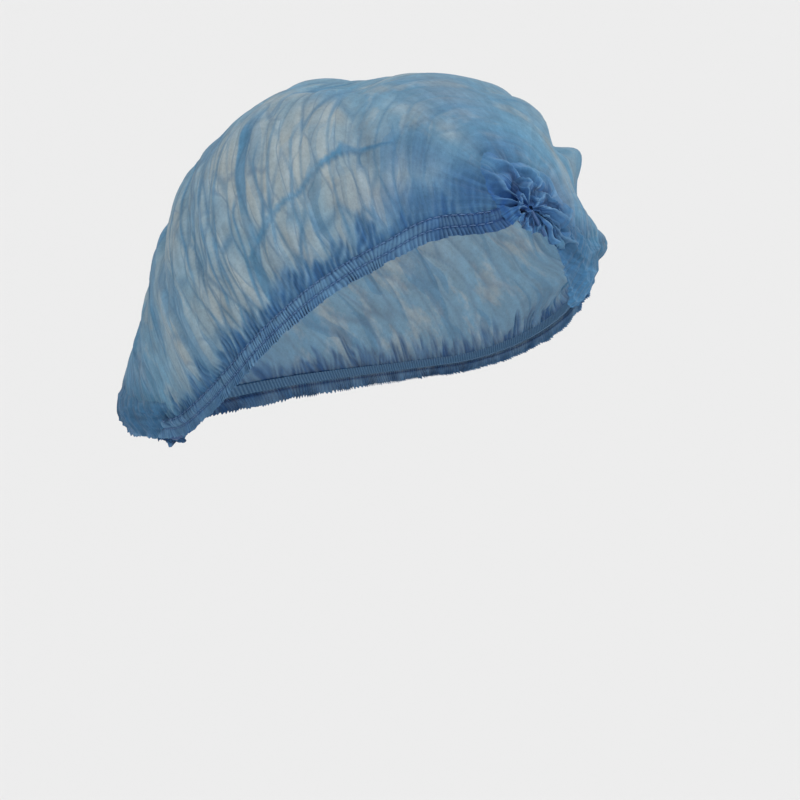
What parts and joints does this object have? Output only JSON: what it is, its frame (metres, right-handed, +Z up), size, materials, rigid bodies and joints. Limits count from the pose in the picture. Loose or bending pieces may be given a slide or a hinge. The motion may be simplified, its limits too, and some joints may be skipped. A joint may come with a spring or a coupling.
{
  "type": "disposable hair cover cap",
  "caption": "Worn pleated nonwoven hair cover with a puffed crown, elastic stitched inside two gathered hems, and bunched rosettes at forehead and nape.",
  "frame": {"origin": "where the top of the head touches the inside of the crown", "axes": "+Z up, -Y the way the wearer faces, +X to the wearer's left"},
  "size_m": [0.172, 0.2211, 0.1871],
  "materials": {
    "cap_cloth": "thin spunbonded polypropylene nonwoven, matt and slightly see-through",
    "gathered_cloth": "the same nonwoven in many gathered layers, deeper blue",
    "elastic": "flat latex-free elastic tape, matt"
  },
  "bodies": {
    "root": {"crown": "cap_cloth", "hem_right": "gathered_cloth", "hem_left": "gathered_cloth", "elastic_right": "elastic", "elastic_left": "elastic", "front_rosette": "gathered_cloth", "back_rosette": "gathered_cloth", "front_weld": "gathered_cloth", "back_weld": "gathered_cloth", "front_tail": "gathered_cloth"}
  },
  "joints": []
}
